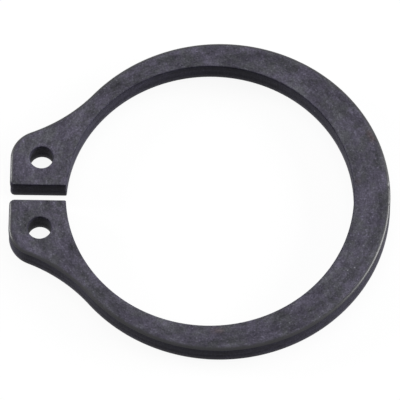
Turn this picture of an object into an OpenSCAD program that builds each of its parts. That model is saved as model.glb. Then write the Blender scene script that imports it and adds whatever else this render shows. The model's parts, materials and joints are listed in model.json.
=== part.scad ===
// External circlip: a flat spring ring that snaps into a groove round a shaft.
// It is one piece, stamped from spring steel strip and blackened.
//
// It lies flat. The bore runs along Z, the origin is the bore's centre halfway
// through the thickness, and the gap between the lugs faces -X. The outside
// circle is set off from the bore, so the blade is widest opposite the gap and
// thins towards the lugs, which lets it open into an even curve.

/* [Ring] */
// Diameter of the bore in the relaxed ring
bore_d = 23.2; // [20:0.1:30]
// Width of the blade opposite the gap, where it is widest
back_w = 2.95; // [2.5:0.05:4]
// Width that the blade thins down to on the gap's side
front_w = 1.35; // [1:0.05:2.2]
// Thickness of the strip
thickness = 2; // [1.2:0.05:2.5]

/* [Lugs] */
// Height of the lugs, from the bore to their straight ends
lug_h = 4.55; // [4:0.05:6]
// Radius of a lug's outer corner, which is centred on its plier hole
lug_corner_r = 2.5; // [1.8:0.1:3]
// Radius of the hollow flank that blends a lug into the outside circle
flank_r = 13; // [6:0.5:20]
// Gap between the two lugs in the relaxed ring
gap_w = 1.3; // [0.8:0.1:3]
// Radius of the small corner between a lug's end and the gap
gap_corner_r = 0.4; // [0.35:0.05:0.8]

/* [Plier holes] */
// Diameter of the holes for the tips of circlip pliers
hole_d = 1.9; // [1.4:0.1:2.6]
// Distance between the centres of the two holes
hole_spacing = 6.3; // [5.8:0.1:8]

/* [Edges] */
// Width of the outside's rolled upper edge, which the die drew down as it cut the ring out
roll_w = 0.42; // [0.2:0.02:0.5]
// Depth of that rolled edge
roll_h = 0.25; // [0.1:0.05:0.3]
// Rounding of the upper edges of the bore, the gap and the plier holes, which are crisper
rim_r = 0.12; // [0.05:0.01:0.2]
// Rounding of the lower face's edges, where tumbling wore off the burr
burr_r = 0.12; // [0.05:0.01:0.25]

/* [Hidden] */
$fn = 180;

// Flats that make up each rounded edge
edge_steps = 4;
// How deep each swept edge reaches into the steel behind it
edge_depth = 1.2;
// How far the plain web stays inside the lug's outline, under the swept edges
web_inset = 0.6;
// How far arcs run on inside the steel, past the place where they join
lap_angle = 12;
// How far cutting shapes run past the faces that they cut
overrun = 1;
// Walls that would graze each other are joined where they are still this far
// apart, so that they meet in a clean line
graze = 0.002;

bore_r = bore_d / 2;
outer_r = bore_r + (back_w + front_w) / 2;
outer_centre = [(back_w - front_w) / 2, 0];
lug_end_x = -(bore_r + lug_h);
hole_centre = [lug_end_x + lug_corner_r, hole_spacing / 2];
gap_corner_centre = [lug_end_x + gap_corner_r, gap_w / 2 + gap_corner_r];

// The flank's circle touches the outside circle and the lug's corner circle,
// so its centre lies flank_r further out than each radius. Those two distances
// fix a triangle on the line between the two centres.
centre_line = hole_centre - outer_centre;
span = norm(centre_line);
to_outer = outer_r + flank_r;
to_corner = lug_corner_r + flank_r;
along = (span * span + to_outer * to_outer - to_corner * to_corner) / (2 * span);
across = sqrt(to_outer * to_outer - along * along);
unit = centre_line / span;
flank_centre = outer_centre + unit * along + [unit[1], -unit[0]] * across;

// Directions in which the flank meets the outside circle and the corner circle
outer_angle = direction(flank_centre - outer_centre);
corner_angle = direction(flank_centre - hole_centre);

function direction(v) = atan2(v[1], v[0]);

// Point at a distance from a centre, along an angle
function polar(centre, r, angle) = centre + [r * cos(angle), r * sin(angle)];

// Distance from the point where a straight wall touches an arc, at which the
// two are the graze apart, and the same for two arcs that touch back to back
function short_of(r) = sqrt(2 * graze * r);
function short_of_pair(r1, r2) = short_of(r1 * r2 / (r1 + r2));

// Angle that a length of arc takes up
function arc_angle(length, r) = length / r * 180 / PI;

// Cut wall from the lower face to the upper one, with both edges rounded, as
// points of depth behind the wall against height. The upper rounding is a
// quarter of an ellipse of this width and depth
function wall_section(upper_w, upper_h) =
    let (step = 90 / edge_steps, half = thickness / 2)
    concat(
        [for (a = [90 : -step : 0]) [burr_r * (1 - cos(a)), burr_r * (1 - sin(a)) - half]],
        [for (a = [0 : step : 90]) [upper_w * (1 - cos(a)), half - upper_h * (1 - sin(a))]]
    );

// Section of the strip from its outside wall at depth 0 back into the steel
function strip_section(depth) =
    concat(wall_section(roll_w, roll_h), [[depth, thickness / 2], [depth, -thickness / 2]]);

// Side of a space that is cut right through the strip, at a distance from the
// space's middle. It flares out past both faces
function cut_side(distance) =
    let (height = thickness / 2 + overrun)
    concat(
        [[distance + burr_r + overrun, -height]],
        [for (p = wall_section(rim_r, rim_r)) [distance + p[0], p[1]]],
        [[distance + rim_r + overrun, height]]
    );

// Outside edge swept round an arc, with the steel inside the arc
module convex_edge(centre, r, from, to, depth) {
    translate(centre)
        rotate([0, 0, from])
            rotate_extrude(angle = to - from)
                polygon([for (p = strip_section(depth)) [r - p[0], p[1]]]);
}

// Outside edge swept round an arc, with the steel outside the arc
module concave_edge(centre, r, from, to, depth) {
    translate(centre)
        rotate([0, 0, from])
            rotate_extrude(angle = to - from)
                polygon([for (p = strip_section(depth)) [r + p[0], p[1]]]);
}

// Outside edge along a straight wall at x = 0, with the steel on its +X side
module straight_edge(length, depth) {
    rotate([90, 0, 0])
        linear_extrude(length)
            polygon(strip_section(depth));
}

// Space of a round hole with its two rims rounded
module rimmed_hole(r) {
    height = thickness / 2 + overrun;
    rotate_extrude()
        polygon(concat([[0, -height]], cut_side(r), [[0, height]]));
}

// Curved blade along the outside circle, up to the flanks and a little under them
module blade() {
    end_angle = outer_angle + lap_angle;
    convex_edge(outer_centre, outer_r, -end_angle, end_angle, back_w + overrun);
}

// Hollow flank between the outside circle and a lug's corner
module flank() {
    corner_end = corner_angle + arc_angle(short_of_pair(flank_r, lug_corner_r), flank_r);
    outer_end = outer_angle - arc_angle(short_of_pair(flank_r, outer_r), flank_r);
    concave_edge(flank_centre, flank_r, 180 + corner_end, 180 + outer_end, edge_depth);
}

// Outer corner of a lug, round its plier hole
module lug_corner() {
    convex_edge(hole_centre, lug_corner_r, corner_angle - lap_angle, 180 + lap_angle, lug_corner_r);
}

// Straight end of both lugs, before the gap is cut
module lug_ends() {
    top_y = hole_centre[1] - short_of(lug_corner_r);
    translate([lug_end_x, top_y])
        straight_edge(2 * top_y, edge_depth);
}

// Plain steel inside the lugs' edges, run on past the bore's edge
module lug_web() {
    end_x = -bore_r / 2;
    flank_middle = 180 + (corner_angle + outer_angle) / 2;
    side = [
        [lug_end_x + web_inset, hole_centre[1]],
        polar(hole_centre, lug_corner_r - web_inset, corner_angle),
        polar(flank_centre, flank_r + web_inset, flank_middle),
        polar(outer_centre, outer_r - web_inset, outer_angle),
        [end_x, hole_centre[1]]
    ];
    other_side = [for (i = [len(side) - 1 : -1 : 0]) [side[i][0], -side[i][1]]];
    linear_extrude(thickness, center = true)
        polygon(concat(side, other_side));
}

// Space of the gap between its two straight walls, run on into the bore
module gap_slot() {
    side = cut_side(gap_w / 2);
    other_side = [for (i = [len(side) - 1 : -1 : 0]) [-side[i][0], side[i][1]]];
    start_x = lug_end_x - overrun;
    translate([start_x, 0])
        rotate([90, 0, 90])
            linear_extrude(-bore_r / 2 - start_x)
                polygon(concat(side, other_side));
}

// Space that rounds off one lug where its end turns into the gap. The end's
// rolled edge runs straight on into it and fades out on the corner
module gap_corner() {
    height = thickness / 2 + overrun;
    margin = arc_angle(short_of(gap_corner_r), gap_corner_r);
    reach = 2 * gap_corner_r;
    translate(gap_corner_centre)
        rotate([0, 0, 180 + margin])
            rotate_extrude(angle = 90 - 2 * margin)
                polygon(concat(
                    [[reach, -height], [gap_corner_r - burr_r, -height]],
                    [for (p = wall_section(rim_r, rim_r)) [gap_corner_r - p[0], p[1]]],
                    [[gap_corner_r - rim_r, height], [reach, height]]
                ));
}

// Everything that the gap takes away
module gap() {
    gap_slot();
    gap_corner();
    mirror([0, 1, 0])
        gap_corner();
}

// Hollow flank and rounded outer corner of one lug, on the +Y side
module lug_side() {
    flank();
    lug_corner();
}

module retaining_ring() {
    color("#4a4951")
        difference() {
            union() {
                blade();
                lug_ends();
                lug_web();
                lug_side();
                mirror([0, 1, 0])
                    lug_side();
            }
            gap();
            rimmed_hole(bore_r);
            for (side = [-1, 1])
                translate([hole_centre[0], side * hole_centre[1]])
                    rimmed_hole(hole_d / 2);
        }
}

retaining_ring();
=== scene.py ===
"""External circlip of blackened spring steel, lying flat on a pale table.

One mesh stands for the whole ring. Its cut walls are a rounded section carried along the
outline, its two faces are grids between the outline and the bore or a plier hole, and all
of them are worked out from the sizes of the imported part. Lengths are in millimetres unless
a comment says otherwise, and angles are in degrees, counted from +X towards +Y.
"""

import json
import math

import bmesh
import bpy
import numpy as np
from mathutils import Matrix, Vector


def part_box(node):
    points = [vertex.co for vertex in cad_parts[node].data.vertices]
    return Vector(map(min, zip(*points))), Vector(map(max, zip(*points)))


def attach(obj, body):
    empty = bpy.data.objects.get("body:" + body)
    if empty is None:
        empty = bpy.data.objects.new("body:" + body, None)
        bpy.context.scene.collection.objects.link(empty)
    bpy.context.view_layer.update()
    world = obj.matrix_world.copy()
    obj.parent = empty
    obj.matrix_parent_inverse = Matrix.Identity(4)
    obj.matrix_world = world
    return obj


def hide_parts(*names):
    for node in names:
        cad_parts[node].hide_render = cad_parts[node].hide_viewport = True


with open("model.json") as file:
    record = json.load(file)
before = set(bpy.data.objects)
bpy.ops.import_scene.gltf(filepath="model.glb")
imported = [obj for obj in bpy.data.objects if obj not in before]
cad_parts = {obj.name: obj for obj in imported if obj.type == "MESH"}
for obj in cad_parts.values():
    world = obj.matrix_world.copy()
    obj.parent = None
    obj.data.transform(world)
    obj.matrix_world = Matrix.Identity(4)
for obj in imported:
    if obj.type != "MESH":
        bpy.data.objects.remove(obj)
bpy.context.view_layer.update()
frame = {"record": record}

MM = 0.001

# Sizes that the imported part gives
MOUNTS = {mount["name"]: mount for mount in frame["record"]["mounts"]}
BOX_LOW, BOX_HIGH = (np.array(corner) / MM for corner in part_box("retaining_ring"))
BORE_R = MOUNTS["shaft_seat"]["dims"]["r_mm"]
HOLE_R = MOUNTS["plier_hole_left"]["dims"]["r_mm"]
HOLE_CENTRE = np.array(MOUNTS["plier_hole_left"]["pos_m"][:2]) / MM
OUTER_R = BOX_HIGH[1]
OUTER_CENTRE = np.array([BOX_HIGH[0] - OUTER_R, 0.0])
LUG_END_X = BOX_LOW[0]
LUG_CORNER_R = HOLE_CENTRE[0] - LUG_END_X
HALF_THICKNESS = BOX_HIGH[2]

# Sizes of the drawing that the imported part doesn't list. The outside's upper edge is rolled
# over, and the upper edges of the bore, the gap and the holes are crisper
FLANK_R = 13.0
GAP_W = 1.3
GAP_CORNER_R = 0.4
ROLL_W, ROLL_H = 0.42, 0.25
RIM_R = 0.12
BURR_R = 0.12

# Radius of the small corner between the gap and the bore, which tumbling wore round
BORE_CORNER_R = 0.12

# The punch leaves a smooth band below the rolled edge. Under it the steel broke away, and
# that part of the wall stands back a little, after a short slope
SMOOTH_BAND = 0.5
BREAK_SETBACK = 0.02
BREAK_STEP = 0.3

# Angle at which the blade's grid ends and the lug's grid starts, on the bore's side
LUG_ANGLE = 154.0

# Steps along each stretch of the outline, mostly about 0.1 mm long
OUTER_STEPS, FLANK_STEPS = 290, 50
CORNER_STEPS, END_STEPS, GAP_CORNER_STEPS = 34, 18, 9
GAP_WALL_STEPS, BORE_CORNER_STEPS, LUG_BORE_STEPS = 34, 6, 40

# Steps down the wall, and across the faces of the blade and the lugs
ROLL_STEPS, WALL_STEPS, BURR_STEPS = 10, 12, 5
BLADE_ROWS, LUG_ROWS = 18, 14

# Columns of the half outline at which the lug's side and its gap corner start, and at which
# the corner and the side end
LUG_START = OUTER_STEPS + FLANK_STEPS
GAP_CORNER_START = LUG_START + CORNER_STEPS + END_STEPS
GAP_CORNER_END = GAP_CORNER_START + GAP_CORNER_STEPS
LUG_END = GAP_CORNER_END + GAP_WALL_STEPS + BORE_CORNER_STEPS + LUG_BORE_STEPS

# Points closer than this are one point of the mesh
MERGE_DISTANCE = 0.001

# Unevenness of the faces: its height, then the length and the random seed of the waves on
# the upper face, of finer ones half as strong, and of those on the lower face
FACE_WAVE = 0.006
UPPER_WAVES, FINE_WAVES, LOWER_WAVES = (4, 3), (1.3, 5), (5, 8)

# How many sines make up such waves, and how far their lengths spread
WAVE_COUNT = 10
WAVE_SPREAD = (0.7, 1.5)

# Marks of handling on the upper face: angle round the bore, distance from its centre,
# radius and depth
FACE_DENTS = [
    (-28.2, 13.3, 0.16, 0.05),
    (20.3, 14.0, 0.14, 0.05),
    (-83.0, 12.7, 0.12, 0.04),
    (-96.0, 13.0, 0.12, 0.04),
    (-31.0, 13.0, 0.22, 0.03),
    (52.0, 12.6, 0.15, 0.03),
    (108.0, 12.4, 0.18, 0.03),
    (171.5, 13.1, 0.16, 0.03),
    (-163.0, 12.4, 0.14, 0.03),
]

# Nicks across the outside edge: angle round the outside circle, width and depth
EDGE_NICKS = [(4.5, 0.14, 0.06), (-2.0, 0.1, 0.035), (-21.0, 0.12, 0.03), (63.0, 0.16, 0.03)]

# Tumbling rubbed the outside only. Its rub begins at the first distance from the bore, the
# gap and the holes, and is full from the second
BURNISH_START, BURNISH_END = 0.2, 0.45


def direction(vector):
    """Angle of a plane vector."""
    return math.degrees(math.atan2(vector[1], vector[0]))


def flank_circle():
    """Centre of the hollow flank, and the angles at which it meets the outside and the corner.

    Its circle touches the outside circle and the lug's corner circle, so it lies FLANK_R
    further out than each radius, at the tip of a triangle on the line between them.
    """
    centre_line = HOLE_CENTRE - OUTER_CENTRE
    span = np.hypot(*centre_line)
    to_outer, to_corner = OUTER_R + FLANK_R, LUG_CORNER_R + FLANK_R
    along = (span**2 + to_outer**2 - to_corner**2) / (2 * span)
    across = math.sqrt(to_outer**2 - along**2)
    unit = centre_line / span
    centre = OUTER_CENTRE + unit * along + np.array([unit[1], -unit[0]]) * across
    return centre, direction(centre - OUTER_CENTRE), direction(centre - HOLE_CENTRE)


FLANK_CENTRE, OUTER_ANGLE, CORNER_ANGLE = flank_circle()
GAP_CORNER = np.array([LUG_END_X + GAP_CORNER_R, GAP_W / 2 + GAP_CORNER_R])


def arc(centre, radius, start, end, steps):
    """Rows of points on circles: centre + radius (cos a, sin a), a running from start to end."""
    share = np.linspace(0, 1, steps + 1)
    a = np.radians(start + (end - start) * share)
    return centre + radius[..., None] * np.stack([np.cos(a), np.sin(a)], axis=-1)


def line(start, end, steps):
    """Rows of points on straight lines: start + (end - start) t, t running from 0 to 1."""
    share = np.linspace(0, 1, steps + 1)[:, None]
    return start[:, None] + (end - start)[:, None] * share


def joined(*stretches):
    """Stretches of a path end to end, without the point that each one shares with the last."""
    return np.concatenate([stretches[0]] + [s[:, 1:] for s in stretches[1:]], axis=1)


def plane_points(x, y):
    """Rows of x and y values, or a single value for all rows, as plane points."""
    return np.stack(np.broadcast_arrays(x, y), axis=-1)


def lifted(points, z):
    """Plane points, one row for each height, as points in space."""
    heights = np.broadcast_to(np.reshape(z, (-1, 1, 1)), points.shape[:2] + (1,))
    return np.concatenate([points, heights], axis=-1)


def outer_side(inset):
    """Blade's outside from opposite the gap to the lug's corner: outside circle, then flank."""
    inset = inset[:, None]
    outside = arc(OUTER_CENTRE, OUTER_R - inset, 0, OUTER_ANGLE, OUTER_STEPS)
    flank = arc(FLANK_CENTRE, FLANK_R + inset, 180 + OUTER_ANGLE, 180 + CORNER_ANGLE, FLANK_STEPS)
    return joined(outside, flank)


def lug_side(inset):
    """Lug's outline from the flank round its corner, end and gap to the bore.

    The small corner at the bore rolls in the angle between the gap's wall and the bore, so
    its centre is inset + BORE_CORNER_R away from both.
    """
    gap_y = GAP_W / 2 + inset
    corner_y = gap_y + BORE_CORNER_R
    reach = BORE_R + inset + BORE_CORNER_R
    corner_x = -np.sqrt(reach**2 - corner_y**2)
    tilt = np.degrees(np.arcsin(corner_y / reach))[:, None]
    bore_corner = plane_points(corner_x, corner_y)[:, None]
    column, small = inset[:, None], np.full((len(inset), 1), BORE_CORNER_R)
    end_x = LUG_END_X + inset
    return joined(
        arc(HOLE_CENTRE, LUG_CORNER_R - column, CORNER_ANGLE, 180, CORNER_STEPS),
        line(plane_points(end_x, HOLE_CENTRE[1]), plane_points(end_x, GAP_CORNER[1]), END_STEPS),
        arc(GAP_CORNER, GAP_CORNER_R - column, 180, 270, GAP_CORNER_STEPS),
        line(plane_points(GAP_CORNER[0], gap_y), plane_points(corner_x, gap_y), GAP_WALL_STEPS),
        arc(bore_corner, small, 270, 360 - tilt, BORE_CORNER_STEPS),
        arc(np.zeros(2), BORE_R + column, 180 - tilt, LUG_ANGLE, LUG_BORE_STEPS),
    )


def bore_side(inset):
    """Bore from where the lug's grid ends to opposite the gap, with as many points as outer_side."""
    return arc(np.zeros(2), BORE_R + inset[:, None], LUG_ANGLE, 0, OUTER_STEPS + FLANK_STEPS)


def cut_section(upper_w, upper_h):
    """Depth behind the wall and height, from the upper face down to the lower one.

    A quarter of an ellipse of that width and depth, the wall with its broken part set back,
    and a quarter circle of BURR_R.
    """
    upper = np.radians(np.linspace(90, 0, ROLL_STEPS + 1))
    lower = np.radians(np.linspace(0, 90, BURR_STEPS + 1))
    top, bottom = HALF_THICKNESS - upper_h, BURR_R - HALF_THICKNESS
    height = np.linspace(top, bottom, WALL_STEPS + 1)[1:-1]
    broken = np.clip((top - SMOOTH_BAND - height) / BREAK_STEP, 0, 1)
    broken *= np.clip((height - bottom) / BREAK_STEP, 0, 1)
    depth = [upper_w * (1 - np.cos(upper)), BREAK_SETBACK * broken, BURR_R * (1 - np.cos(lower))]
    z = [top + upper_h * np.sin(upper), height, bottom - BURR_R * np.sin(lower)]
    return np.concatenate(depth), np.concatenate(z)


def carried(upper_w, upper_h):
    """Section with that upper rounding, carried along the whole outline of the +Y half."""
    depth, z = cut_section(upper_w, upper_h)
    return lifted(joined(outer_side(depth), lug_side(depth), bore_side(depth)), z)


def half_wall():
    """Cut wall of the +Y half. Its rolled edge turns into the crisp one round the gap's corner.

    There each row is a quarter ellipse, as far from the lug's end as the rolled section is and
    as far from the gap as the crisp one, and its height turns from the first to the second.
    """
    rolled, crisp = carried(ROLL_W, ROLL_H), carried(RIM_R, RIM_R)
    column = np.arange(rolled.shape[1])
    share = np.clip((column - GAP_CORNER_START) / GAP_CORNER_STEPS, 0, 1)[:, None]
    wall = rolled + (crisp - rolled) * share
    corner = slice(GAP_CORNER_START, GAP_CORNER_END + 1)
    wall[:, corner, 0], wall[:, corner, 1] = rolled[:, corner, 0], crisp[:, corner, 1]
    return wall


def lug_loop(wall):
    """Closed loops round the lug, a row for each row of the wall: its side, then straight back
    across the neck to the flank."""
    side = wall[:, LUG_START:LUG_END + 1]
    neck = line(side[:, -1], side[:, 0], BLADE_ROWS)
    return np.concatenate([side, neck[:, 1:-1]], axis=1)


def hole_wall(wall):
    """Wall of the plier hole: its section carried round, with a column in line with each point
    of the lug's loop."""
    depth, z = cut_section(RIM_R, RIM_R)
    away = lug_loop(wall)[..., :2] - HOLE_CENTRE
    unit = away / np.linalg.norm(away, axis=-1, keepdims=True)
    return lifted(HOLE_CENTRE + (HOLE_R + depth)[:, None, None] * unit, z)


def between(start, end, rows):
    """Grid from one line of points straight across to another: start + (end - start) t."""
    share = np.linspace(0, 1, rows + 1)[:, None, None]
    return start + (end - start) * share


def half_grids(wall):
    """All grids of the +Y half but the outline's wall, each with whether it closes on itself:
    the hole's wall and, for both faces, the blade between outside and bore and the lug round
    its hole."""
    hole = hole_wall(wall)
    grids = [(hole, True)]
    for row in (0, -1):
        outside, bore = wall[row, :LUG_START + 1], wall[row, :LUG_END - 1:-1]
        grids.append((between(outside, bore, BLADE_ROWS), False))
        grids.append((between(lug_loop(wall)[row], hole[row], LUG_ROWS), True))
    return grids


def grid_faces(shape, closed):
    """Corner numbers of a grid's quads. A closed grid's last column joins its first."""
    rows, columns = shape[:2]
    number = np.arange(rows * columns).reshape(rows, columns)
    if closed:
        number = np.concatenate([number, number[:, :1]], axis=1)
    corners = [number[:-1, :-1], number[:-1, 1:], number[1:, 1:], number[1:, :-1]]
    return np.stack(corners, axis=-1).reshape(-1, 4)


def waves(points, length, seed):
    """Gentle uneven height from -1 to 1: sines of random direction and phase, of about one length."""
    random = np.random.default_rng(seed)
    angle, phase = random.uniform(0, 2 * np.pi, (2, WAVE_COUNT))
    rate = 2 * np.pi / (length * random.uniform(*WAVE_SPREAD, WAVE_COUNT))
    swing = points[:, :1] * np.cos(angle) + points[:, 1:2] * np.sin(angle)
    return np.sin(swing * rate + phase).sum(axis=1) / WAVE_COUNT


def on_bore(angle, distance):
    """Plane point at an angle round the bore and a distance from its centre."""
    a = math.radians(angle)
    return distance * np.array([math.cos(a), math.sin(a)])


def weathered(points):
    """The ring's points moved inwards by its unevenness, dents and nicks, in all by less than 0.1.

    A dent or nick is a bell: its depth times e to the power of minus (distance / size) squared.
    """
    moved = points.copy()
    height = points[:, 2]
    up = np.clip((height - HALF_THICKNESS) / ROLL_H + 1, 0, 1)
    down = np.clip((-height - HALF_THICKNESS) / BURR_R + 1, 0, 1)
    sunk = FACE_WAVE * (1 + waves(points, *UPPER_WAVES) + waves(points, *FINE_WAVES) / 2) / 2
    for angle, distance, radius, depth in FACE_DENTS:
        away = np.hypot(*(points[:, :2] - on_bore(angle, distance)).T)
        sunk = sunk + depth * np.exp(-((away / radius) ** 2))
    moved[:, 2] -= up * sunk - down * FACE_WAVE * (1 + waves(points, *LOWER_WAVES)) / 2
    offset = points[:, :2] - OUTER_CENTRE
    away = np.hypot(*offset.T)
    outside = np.clip((away - OUTER_R) / ROLL_W + 1, 0, 1)
    around = np.degrees(np.arctan2(offset[:, 1], offset[:, 0]))
    for angle, width, depth in EDGE_NICKS:
        arc_length = np.radians(around - angle) * OUTER_R
        cut = depth * np.exp(-((arc_length / width) ** 2)) * outside * up
        moved[:, :2] -= offset / away[:, None] * cut[:, None]
        moved[:, 2] -= cut
    return moved


def burnish(points):
    """How far tumbling rubbed each point smooth: 0 near the bore, the gap and the holes, which
    nothing reached, up to 1 from BURNISH_END away from all of them."""
    x, y = points[:, 0], np.abs(points[:, 1])
    bore = np.hypot(x, y) - BORE_R
    gap = np.where(x < 0, y - GAP_W / 2, np.inf)
    hole = np.hypot(x - HOLE_CENTRE[0], y - HOLE_CENTRE[1]) - HOLE_R
    nearest = np.minimum(np.minimum(bore, gap), hole)
    return np.clip((nearest - BURNISH_START) / (BURNISH_END - BURNISH_START), 0, 1)


def make_ring():
    """The ring as one closed mesh: grids laid side by side, joined where their points meet."""
    mirror = np.array([1, -1, 1])
    half = half_wall()
    grids = [(np.concatenate([half, (half[:, ::-1] * mirror)[:, 1:-1]], axis=1), True)]
    for grid, closed in half_grids(half):
        grids += [(grid, closed), (grid * mirror, closed)]
    points = np.concatenate([grid.reshape(-1, 3) for grid, closed in grids])
    starts = np.cumsum([0] + [grid.shape[0] * grid.shape[1] for grid, closed in grids])
    faces = np.concatenate([
        grid_faces(grid.shape, closed) + start
        for (grid, closed), start in zip(grids, starts)
    ])
    mesh = bpy.data.meshes.new("spring_steel_ring")
    mesh.from_pydata((weathered(points) * MM).tolist(), [], faces.tolist())
    shell = bmesh.new()
    shell.from_mesh(mesh)
    bmesh.ops.remove_doubles(shell, verts=shell.verts, dist=MERGE_DISTANCE * MM)
    bmesh.ops.recalc_face_normals(shell, faces=shell.faces)
    shell.to_mesh(mesh)
    shell.free()
    places = np.empty(3 * len(mesh.vertices))
    mesh.vertices.foreach_get("co", places)
    rubbed = mesh.attributes.new("burnish", "FLOAT", "POINT")
    rubbed.data.foreach_set("value", burnish(places.reshape(-1, 3) / MM))
    mesh.polygons.foreach_set("use_smooth", np.ones(len(mesh.polygons), bool))
    ring = bpy.data.objects.new("spring_steel_ring", mesh)
    bpy.context.collection.objects.link(ring)
    return ring


def colour(code):
    """An sRGB hex colour as linear red, green and blue with full opacity.

    Each channel c becomes c / 12.92 up to 0.04045, and ((c + 0.055) / 1.055) ** 2.4 above.
    """
    channels = [int(code[i:i + 2], 16) / 255 for i in (1, 3, 5)]
    linear = [c / 12.92 if c <= 0.04045 else ((c + 0.055) / 1.055) ** 2.4 for c in channels]
    return (*linear, 1.0)


def add(tree, kind, inputs=(), **settings):
    """Adds a node. Its settings go by name, and its inputs by name or number, or as a list in
    the order of its sockets. An input is a value, or is linked from another node's output,
    which is its first one where the node itself is given."""
    node = tree.nodes.new(kind)
    for name, value in settings.items():
        setattr(node, name, value)
    pairs = inputs.items() if isinstance(inputs, dict) else enumerate(inputs)
    for key, value in pairs:
        if isinstance(value, bpy.types.Node):
            value = value.outputs[0]
        if isinstance(value, bpy.types.NodeSocket):
            tree.links.new(value, node.inputs[key])
        else:
            node.inputs[key].default_value = value
    return node


def new_material(name):
    """An empty material with its node tree."""
    material = bpy.data.materials.new(name)
    material.use_nodes = True
    material.node_tree.nodes.clear()
    return material, material.node_tree


def per_metre(size):
    """Texture scale at which a feature is this many millimetres across."""
    return 1 / (size * MM)


# Numbers of the sockets of a colour mix, whose names repeat
FACTOR, FIRST, SECOND, RESULT = 0, 6, 7, 2

# Colours of the coat: where it is thick, where it is thin, on the cut walls and where rust
# shows through it. The last is steel that a knock laid bare, and it also colours a small light dot on
# the bore's wall
THICK_COAT, THIN_COAT, WALL_COAT, RUST = "#484551", "#46464b", "#484557", "#4d4040"
BARE_STEEL = "#828189"

# Patterns of the coat, around 0.5: how many millimetres across, how many finer octaves, and
# how strong each octave is next to the last
CLOUDS = {"Scale": per_metre(3), "Detail": 6.0, "Roughness": 0.88}
BLOTCHES = {"Scale": per_metre(0.8), "Detail": 3.0, "Roughness": 0.95}
PATCHES = {"Scale": per_metre(1.7), "Detail": 4.0, "Roughness": 0.75}
GRAIN = {"Scale": per_metre(0.13), "Detail": 1.0, "Roughness": 0.5}
DRAG_MARKS = {"Scale": per_metre(0.15), "Detail": 3.0, "Roughness": 0.7}

# Scales that draw the clouds out to twice their width round the ring, and the drag marks to
# nearly seven times theirs up the wall
ROUND_THE_RING = (1.0, 0.5, 1.0)
UP_THE_WALL = (1.0, 1.0, 0.15)

# Brightness that the patterns give: two values of the pattern, then the brightness at each.
# The specks' brightness is added, and the others are factors
CLOUD_LIGHT = (0.35, 0.65, 0.62, 1.38)
BLOTCH_LIGHT = (0.3, 0.7, 0.62, 1.38)
GRAIN_LIGHT = (0.3, 0.7, 0.75, 1.25)
SPECK_LIGHT = (0.66, 0.8, 0.0, 0.9)
# On the cut walls this is painted shade as well as drag marks: the walls get a quarter to a half of the
# faces' brightness
WALL_SHADE_AND_DRAG = (0.3, 0.7, 0.24, 0.48)

# Where the patches make the coat thin, and how they break up the band of painted shade and the rust
THIN_PATCHES = (0.42, 0.6, 0.0, 1.0)
BAND_PATCHES = (0.4, 0.58, 0.0, 1.0)
RUST_PATCHES = (0.35, 0.6, 0.3, 1.0)

# Depths inside the outside circle at which a band of painted shade starts, is full, fades and ends, and
# its brightness. It stands for the shade of a shallow valley that the punch left inside the rolled edge
BAND_START, BAND_FULL, BAND_FADE, BAND_END = ROLL_W, 0.64, 0.8, 1.6
VALLEY_SHADE_LIGHT = 0.72

# Gloss of the coat, in the same form: on the faces it goes with the clouds, and on the walls'
# worn foot with the height. The rubbed edges get more, and keep this share of their brightness,
# which is partly wear and partly painted shade
FACE_GLOSS = (0.4, 0.6, 0.0, 0.012)
FOOT_GLOSS = (-0.4 * HALF_THICKNESS * MM, -HALF_THICKNESS * MM, 0.0, 0.4)
RUBBED_GLOSS, RUBBED_WEAR_AND_SHADE = 0.88, 0.2

# Height of the grain
GRAIN_RELIEF = 0.008

# Values of the normal's upright part, 1 on a face and 0 on a wall: where the walls' finish and their
# painted shade set in and are full, and where an edge counts as rounded and as not, towards face and
# wall
WALL_SPAN = (0.97, 0.55)
FACE_SPAN = (0.9, 0.995)
STEEP_SPAN = (0.35, 0.1)

# Spots on the ring: angle round the bore, distance from its centre, height, radius and
# strength. The first three of rust make up a streak along the outside, and the last light
# speck is a small light dot on the bore's wall
RUST_SPOTS = [
    (24.4, 14.0, HALF_THICKNESS, 0.42, 0.4),
    (22.9, 14.05, HALF_THICKNESS, 0.44, 0.5),
    (21.4, 14.1, HALF_THICKNESS, 0.42, 0.4),
    (-87.1, 12.1, HALF_THICKNESS, 0.5, 0.55),
    (-84.8, 12.15, HALF_THICKNESS, 0.4, 0.4),
    (6.5, 11.95, HALF_THICKNESS, 0.4, 0.3),
]
BARE_SPECKS = [
    (-28.2, 13.3, HALF_THICKNESS, 0.1, 1.0),
    (-30.4, 12.95, HALF_THICKNESS, 0.07, 1.0),
    (20.0, 14.0, HALF_THICKNESS, 0.07, 1.0),
    (44.0, BORE_R, 0.2, 0.1, 1.0),
]

# Share of a spot's radius within which it is at full strength
RUST_CORE, BARE_CORE = 0.2, 0.3


def surface_shares(tree, normal):
    """How far a spot is on a cut wall, and how far it is on a rounded edge, each from 0 to 1."""
    upright = add(tree, "ShaderNodeSeparateXYZ", [normal]).outputs["Z"]
    level = add(tree, "ShaderNodeMath", [upright], operation="ABSOLUTE")
    wall = add(tree, "ShaderNodeMapRange", [level, *WALL_SPAN, 0, 1], interpolation_type="SMOOTHSTEP")
    face = add(tree, "ShaderNodeMapRange", [level, *FACE_SPAN, 0, 1])
    steep = add(tree, "ShaderNodeMapRange", [level, *STEEP_SPAN, 0, 1])
    either = add(tree, "ShaderNodeMath", [face, steep], operation="MAXIMUM")
    return wall, add(tree, "ShaderNodeMath", [1, either], operation="SUBTRACT")


def unrolled(tree, where):
    """Place on the ring laid out straight: distance from the bore's centre, length round the
    bore and height. The ends of the layout lie in the gap."""
    x, y, z = add(tree, "ShaderNodeSeparateXYZ", [where]).outputs
    away = add(tree, "ShaderNodeVectorMath", [where, (0, 0, 0)], operation="DISTANCE").outputs["Value"]
    angle = add(tree, "ShaderNodeMath", [y, x], operation="ARCTAN2")
    around = add(tree, "ShaderNodeMath", [angle, BORE_R * MM], operation="MULTIPLY")
    return add(tree, "ShaderNodeCombineXYZ", [away, around, z])


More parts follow.
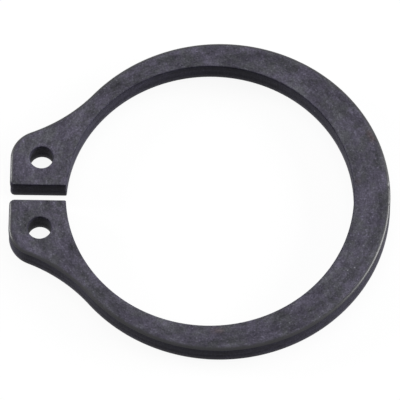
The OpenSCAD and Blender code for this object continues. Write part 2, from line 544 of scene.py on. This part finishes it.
def valley_shade_band(tree, where, patches):
    """Share of the painted shade of a shallow valley: a broken band that runs along the outside, inside
    the rolled edge.
    """
    centre = Vector((*OUTER_CENTRE, HALF_THICKNESS)) * MM
    away = add(tree, "ShaderNodeVectorMath", [where, centre], operation="DISTANCE").outputs["Value"]
    start, full, fade, end = (
        (OUTER_R - depth) * MM for depth in (BAND_START, BAND_FULL, BAND_FADE, BAND_END)
    )
    inner = add(tree, "ShaderNodeMapRange", [away, end, fade, 0, 1])
    outer = add(tree, "ShaderNodeMapRange", [away, start, full, 0, 1])
    band = add(tree, "ShaderNodeMath", [inner, outer], operation="MULTIPLY")
    broken = add(tree, "ShaderNodeMapRange", [patches, *BAND_PATCHES])
    return add(tree, "ShaderNodeMath", [band, broken], operation="MULTIPLY")


def spots(tree, where, places, core):
    """Round spots added up. Each is 0 beyond its radius, and at full strength within the core's
    share of it."""
    total = 0.0
    for angle, distance, height, radius, strength in places:
        centre = Vector((*on_bore(angle, distance), height)) * MM
        away = add(tree, "ShaderNodeVectorMath", [where, centre], operation="DISTANCE").outputs["Value"]
        spot = add(tree, "ShaderNodeMapRange", [away, radius * MM, core * radius * MM, 0, strength])
        total = add(tree, "ShaderNodeMath", [total, spot], operation="ADD")
    return total


def coat_colour(tree, where, wall, patches):
    """Colour of the coat, as bright as it is on average: thick or thin, rusty, or on a wall."""
    thin = add(tree, "ShaderNodeMapRange", [patches, *THIN_PATCHES])
    mix = {FACTOR: thin, FIRST: colour(THICK_COAT), SECOND: colour(THIN_COAT)}
    coat = add(tree, "ShaderNodeMix", mix, data_type="RGBA").outputs[RESULT]
    broken = add(tree, "ShaderNodeMapRange", [patches, *RUST_PATCHES])
    rust = spots(tree, where, RUST_SPOTS, RUST_CORE)
    rust = add(tree, "ShaderNodeMath", [rust, broken], operation="MULTIPLY")
    mix = {FACTOR: rust, FIRST: coat, SECOND: colour(RUST)}
    coat = add(tree, "ShaderNodeMix", mix, data_type="RGBA").outputs[RESULT]
    mix = {FACTOR: wall, FIRST: coat, SECOND: colour(WALL_COAT)}
    return add(tree, "ShaderNodeMix", mix, data_type="RGBA").outputs[RESULT]


def coat_light(tree, where, wall, cloud, blotch, patches, grain):
    """Brightness of the coat, around 1 on the faces, from its patterns and the painted shade of a
    shallow valley inside the rolled edge. The grain's highest crystals are light specks, and the cut
    walls show the punch's drag marks under painted shade that makes them much darker than the faces."""
    cloud = add(tree, "ShaderNodeMapRange", [cloud, *CLOUD_LIGHT])
    blotch = add(tree, "ShaderNodeMapRange", [blotch, *BLOTCH_LIGHT])
    light = add(tree, "ShaderNodeMath", [cloud, blotch], operation="MULTIPLY")
    # Painted shade of a shallow valley, in a band inside the rolled edge
    band = add(tree, "ShaderNodeMapRange", [valley_shade_band(tree, where, patches), 0, 1, 1, VALLEY_SHADE_LIGHT])
    light = add(tree, "ShaderNodeMath", [light, band], operation="MULTIPLY")
    crystals = add(tree, "ShaderNodeMapRange", [grain, *GRAIN_LIGHT])
    light = add(tree, "ShaderNodeMath", [light, crystals], operation="MULTIPLY")
    specks = add(tree, "ShaderNodeMapRange", [grain, *SPECK_LIGHT])
    light = add(tree, "ShaderNodeMath", [light, specks], operation="ADD")
    # Painted shade: the cut walls are drawn at a quarter to a half of the faces' brightness, varied by
    # the punch's drag marks
    upright = add(tree, "ShaderNodeMapping", {"Vector": where, "Scale": UP_THE_WALL})
    drag = add(tree, "ShaderNodeTexNoise", {"Vector": upright, **DRAG_MARKS})
    drag = add(tree, "ShaderNodeMapRange", [drag, *WALL_SHADE_AND_DRAG])
    drag = add(tree, "ShaderNodeMapRange", [wall, 0, 1, 1, drag])
    return add(tree, "ShaderNodeMath", [light, drag], operation="MULTIPLY")


def phosphated_steel():
    """Carbon spring steel, blanked, tumbled, hardened, phosphated and oiled.

    The coat is a mat of fine dark crystals. It is grey with a violet cast, cloudy where it
    grew unevenly and greener where it is thin, with light grit and dark pits. The cut walls
    are drawn much darker with painted shade, and a band inside the rolled edge holds painted
    shade too. On the rounded edges the coat is rubbed smooth, so those catch the light, and
    their darker colour is partly wear and partly painted shade.
    """
    material, tree = new_material("phosphated_spring_steel")
    place = add(tree, "ShaderNodeTexCoord").outputs
    where = place["Object"]
    wall, edge = surface_shares(tree, place["Normal"])

    # Clouds of the coat and smaller blotches, drawn out round the ring by tumbling. Each octave
    # of the clouds, from 3 mm to 0.05 mm, is nearly as strong as the last
    straight = unrolled(tree, where)
    drawn_out = add(tree, "ShaderNodeMapping", {"Vector": straight, "Scale": ROUND_THE_RING})
    cloud = add(tree, "ShaderNodeTexNoise", {"Vector": drawn_out, **CLOUDS})
    blotch = add(tree, "ShaderNodeTexNoise", {"Vector": drawn_out, **BLOTCHES})
    patches = add(tree, "ShaderNodeTexNoise", {"Vector": where, **PATCHES})

    # The crystals are about 0.02 mm. Their grain is drawn at 0.13 mm, the finest that shows
    grain = add(tree, "ShaderNodeTexNoise", {"Vector": where, **GRAIN})
    coat = coat_colour(tree, where, wall, patches)
    light = coat_light(tree, where, wall, cloud, blotch, patches, grain)
    coat = add(tree, "ShaderNodeVectorMath", {0: coat, "Scale": light}, operation="SCALE")

    # The oiled face has hardly any gloss, and the worn foot of each wall has a little. Where
    # tumbling rubbed the rolled edge, the crystals are worn flat and glossier. Its darker colour
    # there is partly that wear and partly painted shade
    height = add(tree, "ShaderNodeSeparateXYZ", [where]).outputs["Z"]
    foot = add(tree, "ShaderNodeMapRange", [height, *FOOT_GLOSS])
    gloss = add(tree, "ShaderNodeMapRange", [cloud, *FACE_GLOSS])
    gloss = add(tree, "ShaderNodeMapRange", [wall, 0, 1, gloss, foot])
    rubbed = add(tree, "ShaderNodeAttribute", attribute_name="burnish").outputs["Fac"]
    rubbed = add(tree, "ShaderNodeMath", [edge, rubbed], operation="MULTIPLY")
    shine = add(tree, "ShaderNodeMapRange", [rubbed, 0, 1, 0, RUBBED_GLOSS])
    gloss = add(tree, "ShaderNodeMath", [gloss, shine], operation="ADD")
    # Partly painted shade: the rubbed edges keep a fifth of their brightness
    worn = add(tree, "ShaderNodeMapRange", [rubbed, 0, 1, 1, RUBBED_WEAR_AND_SHADE])
    coat = add(tree, "ShaderNodeVectorMath", {0: coat, "Scale": worn}, operation="SCALE")

    bare = spots(tree, where, BARE_SPECKS, BARE_CORE)
    mix = {FACTOR: bare, FIRST: coat, SECOND: colour(BARE_STEEL)}
    coat = add(tree, "ShaderNodeMix", mix, data_type="RGBA").outputs[RESULT]
    bump = {"Height": grain, "Distance": GRAIN_RELIEF * MM, "Strength": 1.0}
    steel = add(tree, "ShaderNodeBsdfPrincipled", {
        "Base Color": coat,
        "Roughness": 0.6,
        "Normal": add(tree, "ShaderNodeBump", bump),
        "Metallic": 0.0,
        "Specular IOR Level": 0.055,
        "Coat Weight": gloss,
        "Coat Roughness": 0.36,
        "Coat IOR": 1.5,
    })
    add(tree, "ShaderNodeOutputMaterial", {"Surface": steel})
    return material


# Paint of the table, and the share of its look that is an even glow
TABLE_PAINT = "#fbfbfb"
TABLE_GLOW = 0.92

# Shades of the table and the room that light up the ring. The camera and reflections see
# both white
TABLE_SHADE, ROOM_SHADE, WHITE = "#6e6e70", "#5c5c5e", "#ffffff"

# Half the width of the table in metres, and the gap under the ring
TABLE_REACH = 2.0
TABLE_GAP = 0.01


def looked_at(tree):
    """1 for what the camera or a reflection sees, also through glass, and 0 for all other light."""
    path = add(tree, "ShaderNodeLightPath").outputs
    seen = [path["Is Camera Ray"], path["Is Glossy Ray"]]
    seen = [add(tree, "ShaderNodeMath", seen, operation="MAXIMUM"), path["Is Transmission Ray"]]
    return add(tree, "ShaderNodeMath", seen, operation="MAXIMUM")


def pale_table():
    """Smooth white table. The camera and reflections see it evenly bright under its shadow,
    and it throws back only a little light, as a table in a dark room does."""
    material, tree = new_material("pale_table")
    glow = add(tree, "ShaderNodeEmission", {"Color": colour(WHITE), "Strength": 1.0})
    lit = add(tree, "ShaderNodeBsdfDiffuse", {"Color": colour(TABLE_PAINT)})
    bright = add(tree, "ShaderNodeMixShader", [TABLE_GLOW, lit, glow])
    dull = add(tree, "ShaderNodeBsdfDiffuse", {"Color": colour(TABLE_SHADE)})
    table = add(tree, "ShaderNodeMixShader", [looked_at(tree), dull, bright])
    add(tree, "ShaderNodeOutputMaterial", {"Surface": table})
    return material


def make_table():
    """Table top just under the ring, wide enough to fill any view of it."""
    middle = (0, 0, -(HALF_THICKNESS + TABLE_GAP) * MM)
    corners = np.array([(-1, -1, 0), (1, -1, 0), (1, 1, 0), (-1, 1, 0)])
    mesh = bpy.data.meshes.new("table_top")
    mesh.from_pydata((middle + TABLE_REACH * corners).tolist(), [], [(0, 1, 2, 3)])
    mesh.materials.append(pale_table())
    table = bpy.data.objects.new("table_top", mesh)
    bpy.context.collection.objects.link(table)


# Softboxes: name, angle round the ring, angle above the table, width and height in metres, and
# power in watts. A large one is above and behind, and two low ones light the edges
SOFTBOXES = [
    ("overhead_softbox", 93, 66, 0.5, 0.4, 1.5),
    ("right_softbox", 8, 18, 0.36, 0.18, 3.7),
    ("left_softbox", 162, 18, 0.18, 0.11, 1.9),
]

# How far each softbox is from the ring, in metres
LAMP_DISTANCE = 0.5


def towards(azimuth, elevation):
    """Unit vector at an angle round the ring and an angle above the table."""
    a, e = math.radians(azimuth), math.radians(elevation)
    return Vector((math.cos(a) * math.cos(e), math.sin(a) * math.cos(e), math.sin(e)))


def make_lights():
    """The softboxes, each turned to the ring, and the dim light of the room."""
    for name, azimuth, elevation, width, height, watts in SOFTBOXES:
        lamp = bpy.data.lights.new(name, "AREA")
        lamp.shape = "RECTANGLE"
        lamp.size, lamp.size_y = width, height
        lamp.energy = watts
        box = bpy.data.objects.new(name, lamp)
        away = towards(azimuth, elevation)
        box.location = away * LAMP_DISTANCE
        box.rotation_euler = away.to_track_quat("Z", "Y").to_euler()
        box.visible_camera = False
        bpy.context.collection.objects.link(box)
    world = bpy.data.worlds.new("studio")
    world.use_nodes = True
    tree = world.node_tree
    tree.nodes.clear()
    mix = {FACTOR: looked_at(tree), FIRST: colour(ROOM_SHADE), SECOND: colour(WHITE)}
    room = add(tree, "ShaderNodeMix", mix, data_type="RGBA").outputs[RESULT]
    background = add(tree, "ShaderNodeBackground", {"Color": room, "Strength": 1.0})
    add(tree, "ShaderNodeOutputWorld", {"Surface": background})
    bpy.context.scene.world = world


# The photograph's view: the camera's angle round the ring and above the table, how far it
# leans, its distance, and the point in the middle of the picture
VIEW_AZIMUTH = -88.43
VIEW_ELEVATION = 64.0
VIEW_LEAN = -0.58
VIEW_DISTANCE = 660.0
VIEW_CENTRE = Vector((-0.8, 0.0, 0.0))
FRAME_PIXELS = 400
PIXELS_PER_MM = 12.4
SENSOR_WIDTH = 36.0


def make_camera():
    """Long lens at the photograph's angle. One millimetre of the ring is PIXELS_PER_MM wide."""
    back = towards(VIEW_AZIMUTH, VIEW_ELEVATION)
    right = towards(VIEW_AZIMUTH + 90, 0)
    up = back.cross(right)
    lean = math.radians(VIEW_LEAN)
    across = right * math.cos(lean) + up * math.sin(lean)
    upwards = up * math.cos(lean) - right * math.sin(lean)
    lens = bpy.data.cameras.new("camera")
    lens.sensor_width = SENSOR_WIDTH
    lens.lens = SENSOR_WIDTH * PIXELS_PER_MM * VIEW_DISTANCE / FRAME_PIXELS
    camera = bpy.data.objects.new("camera", lens)
    turn = Matrix((across, upwards, back)).transposed().to_4x4()
    camera.matrix_world = Matrix.Translation((VIEW_CENTRE + back * VIEW_DISTANCE) * MM) @ turn
    bpy.context.collection.objects.link(camera)
    bpy.context.scene.camera = camera


ring = make_ring()
ring.data.materials.append(phosphated_steel())
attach(ring, "root")
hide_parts("retaining_ring")
make_table()
make_lights()
make_camera()
bpy.context.scene.view_settings.view_transform = "Standard"
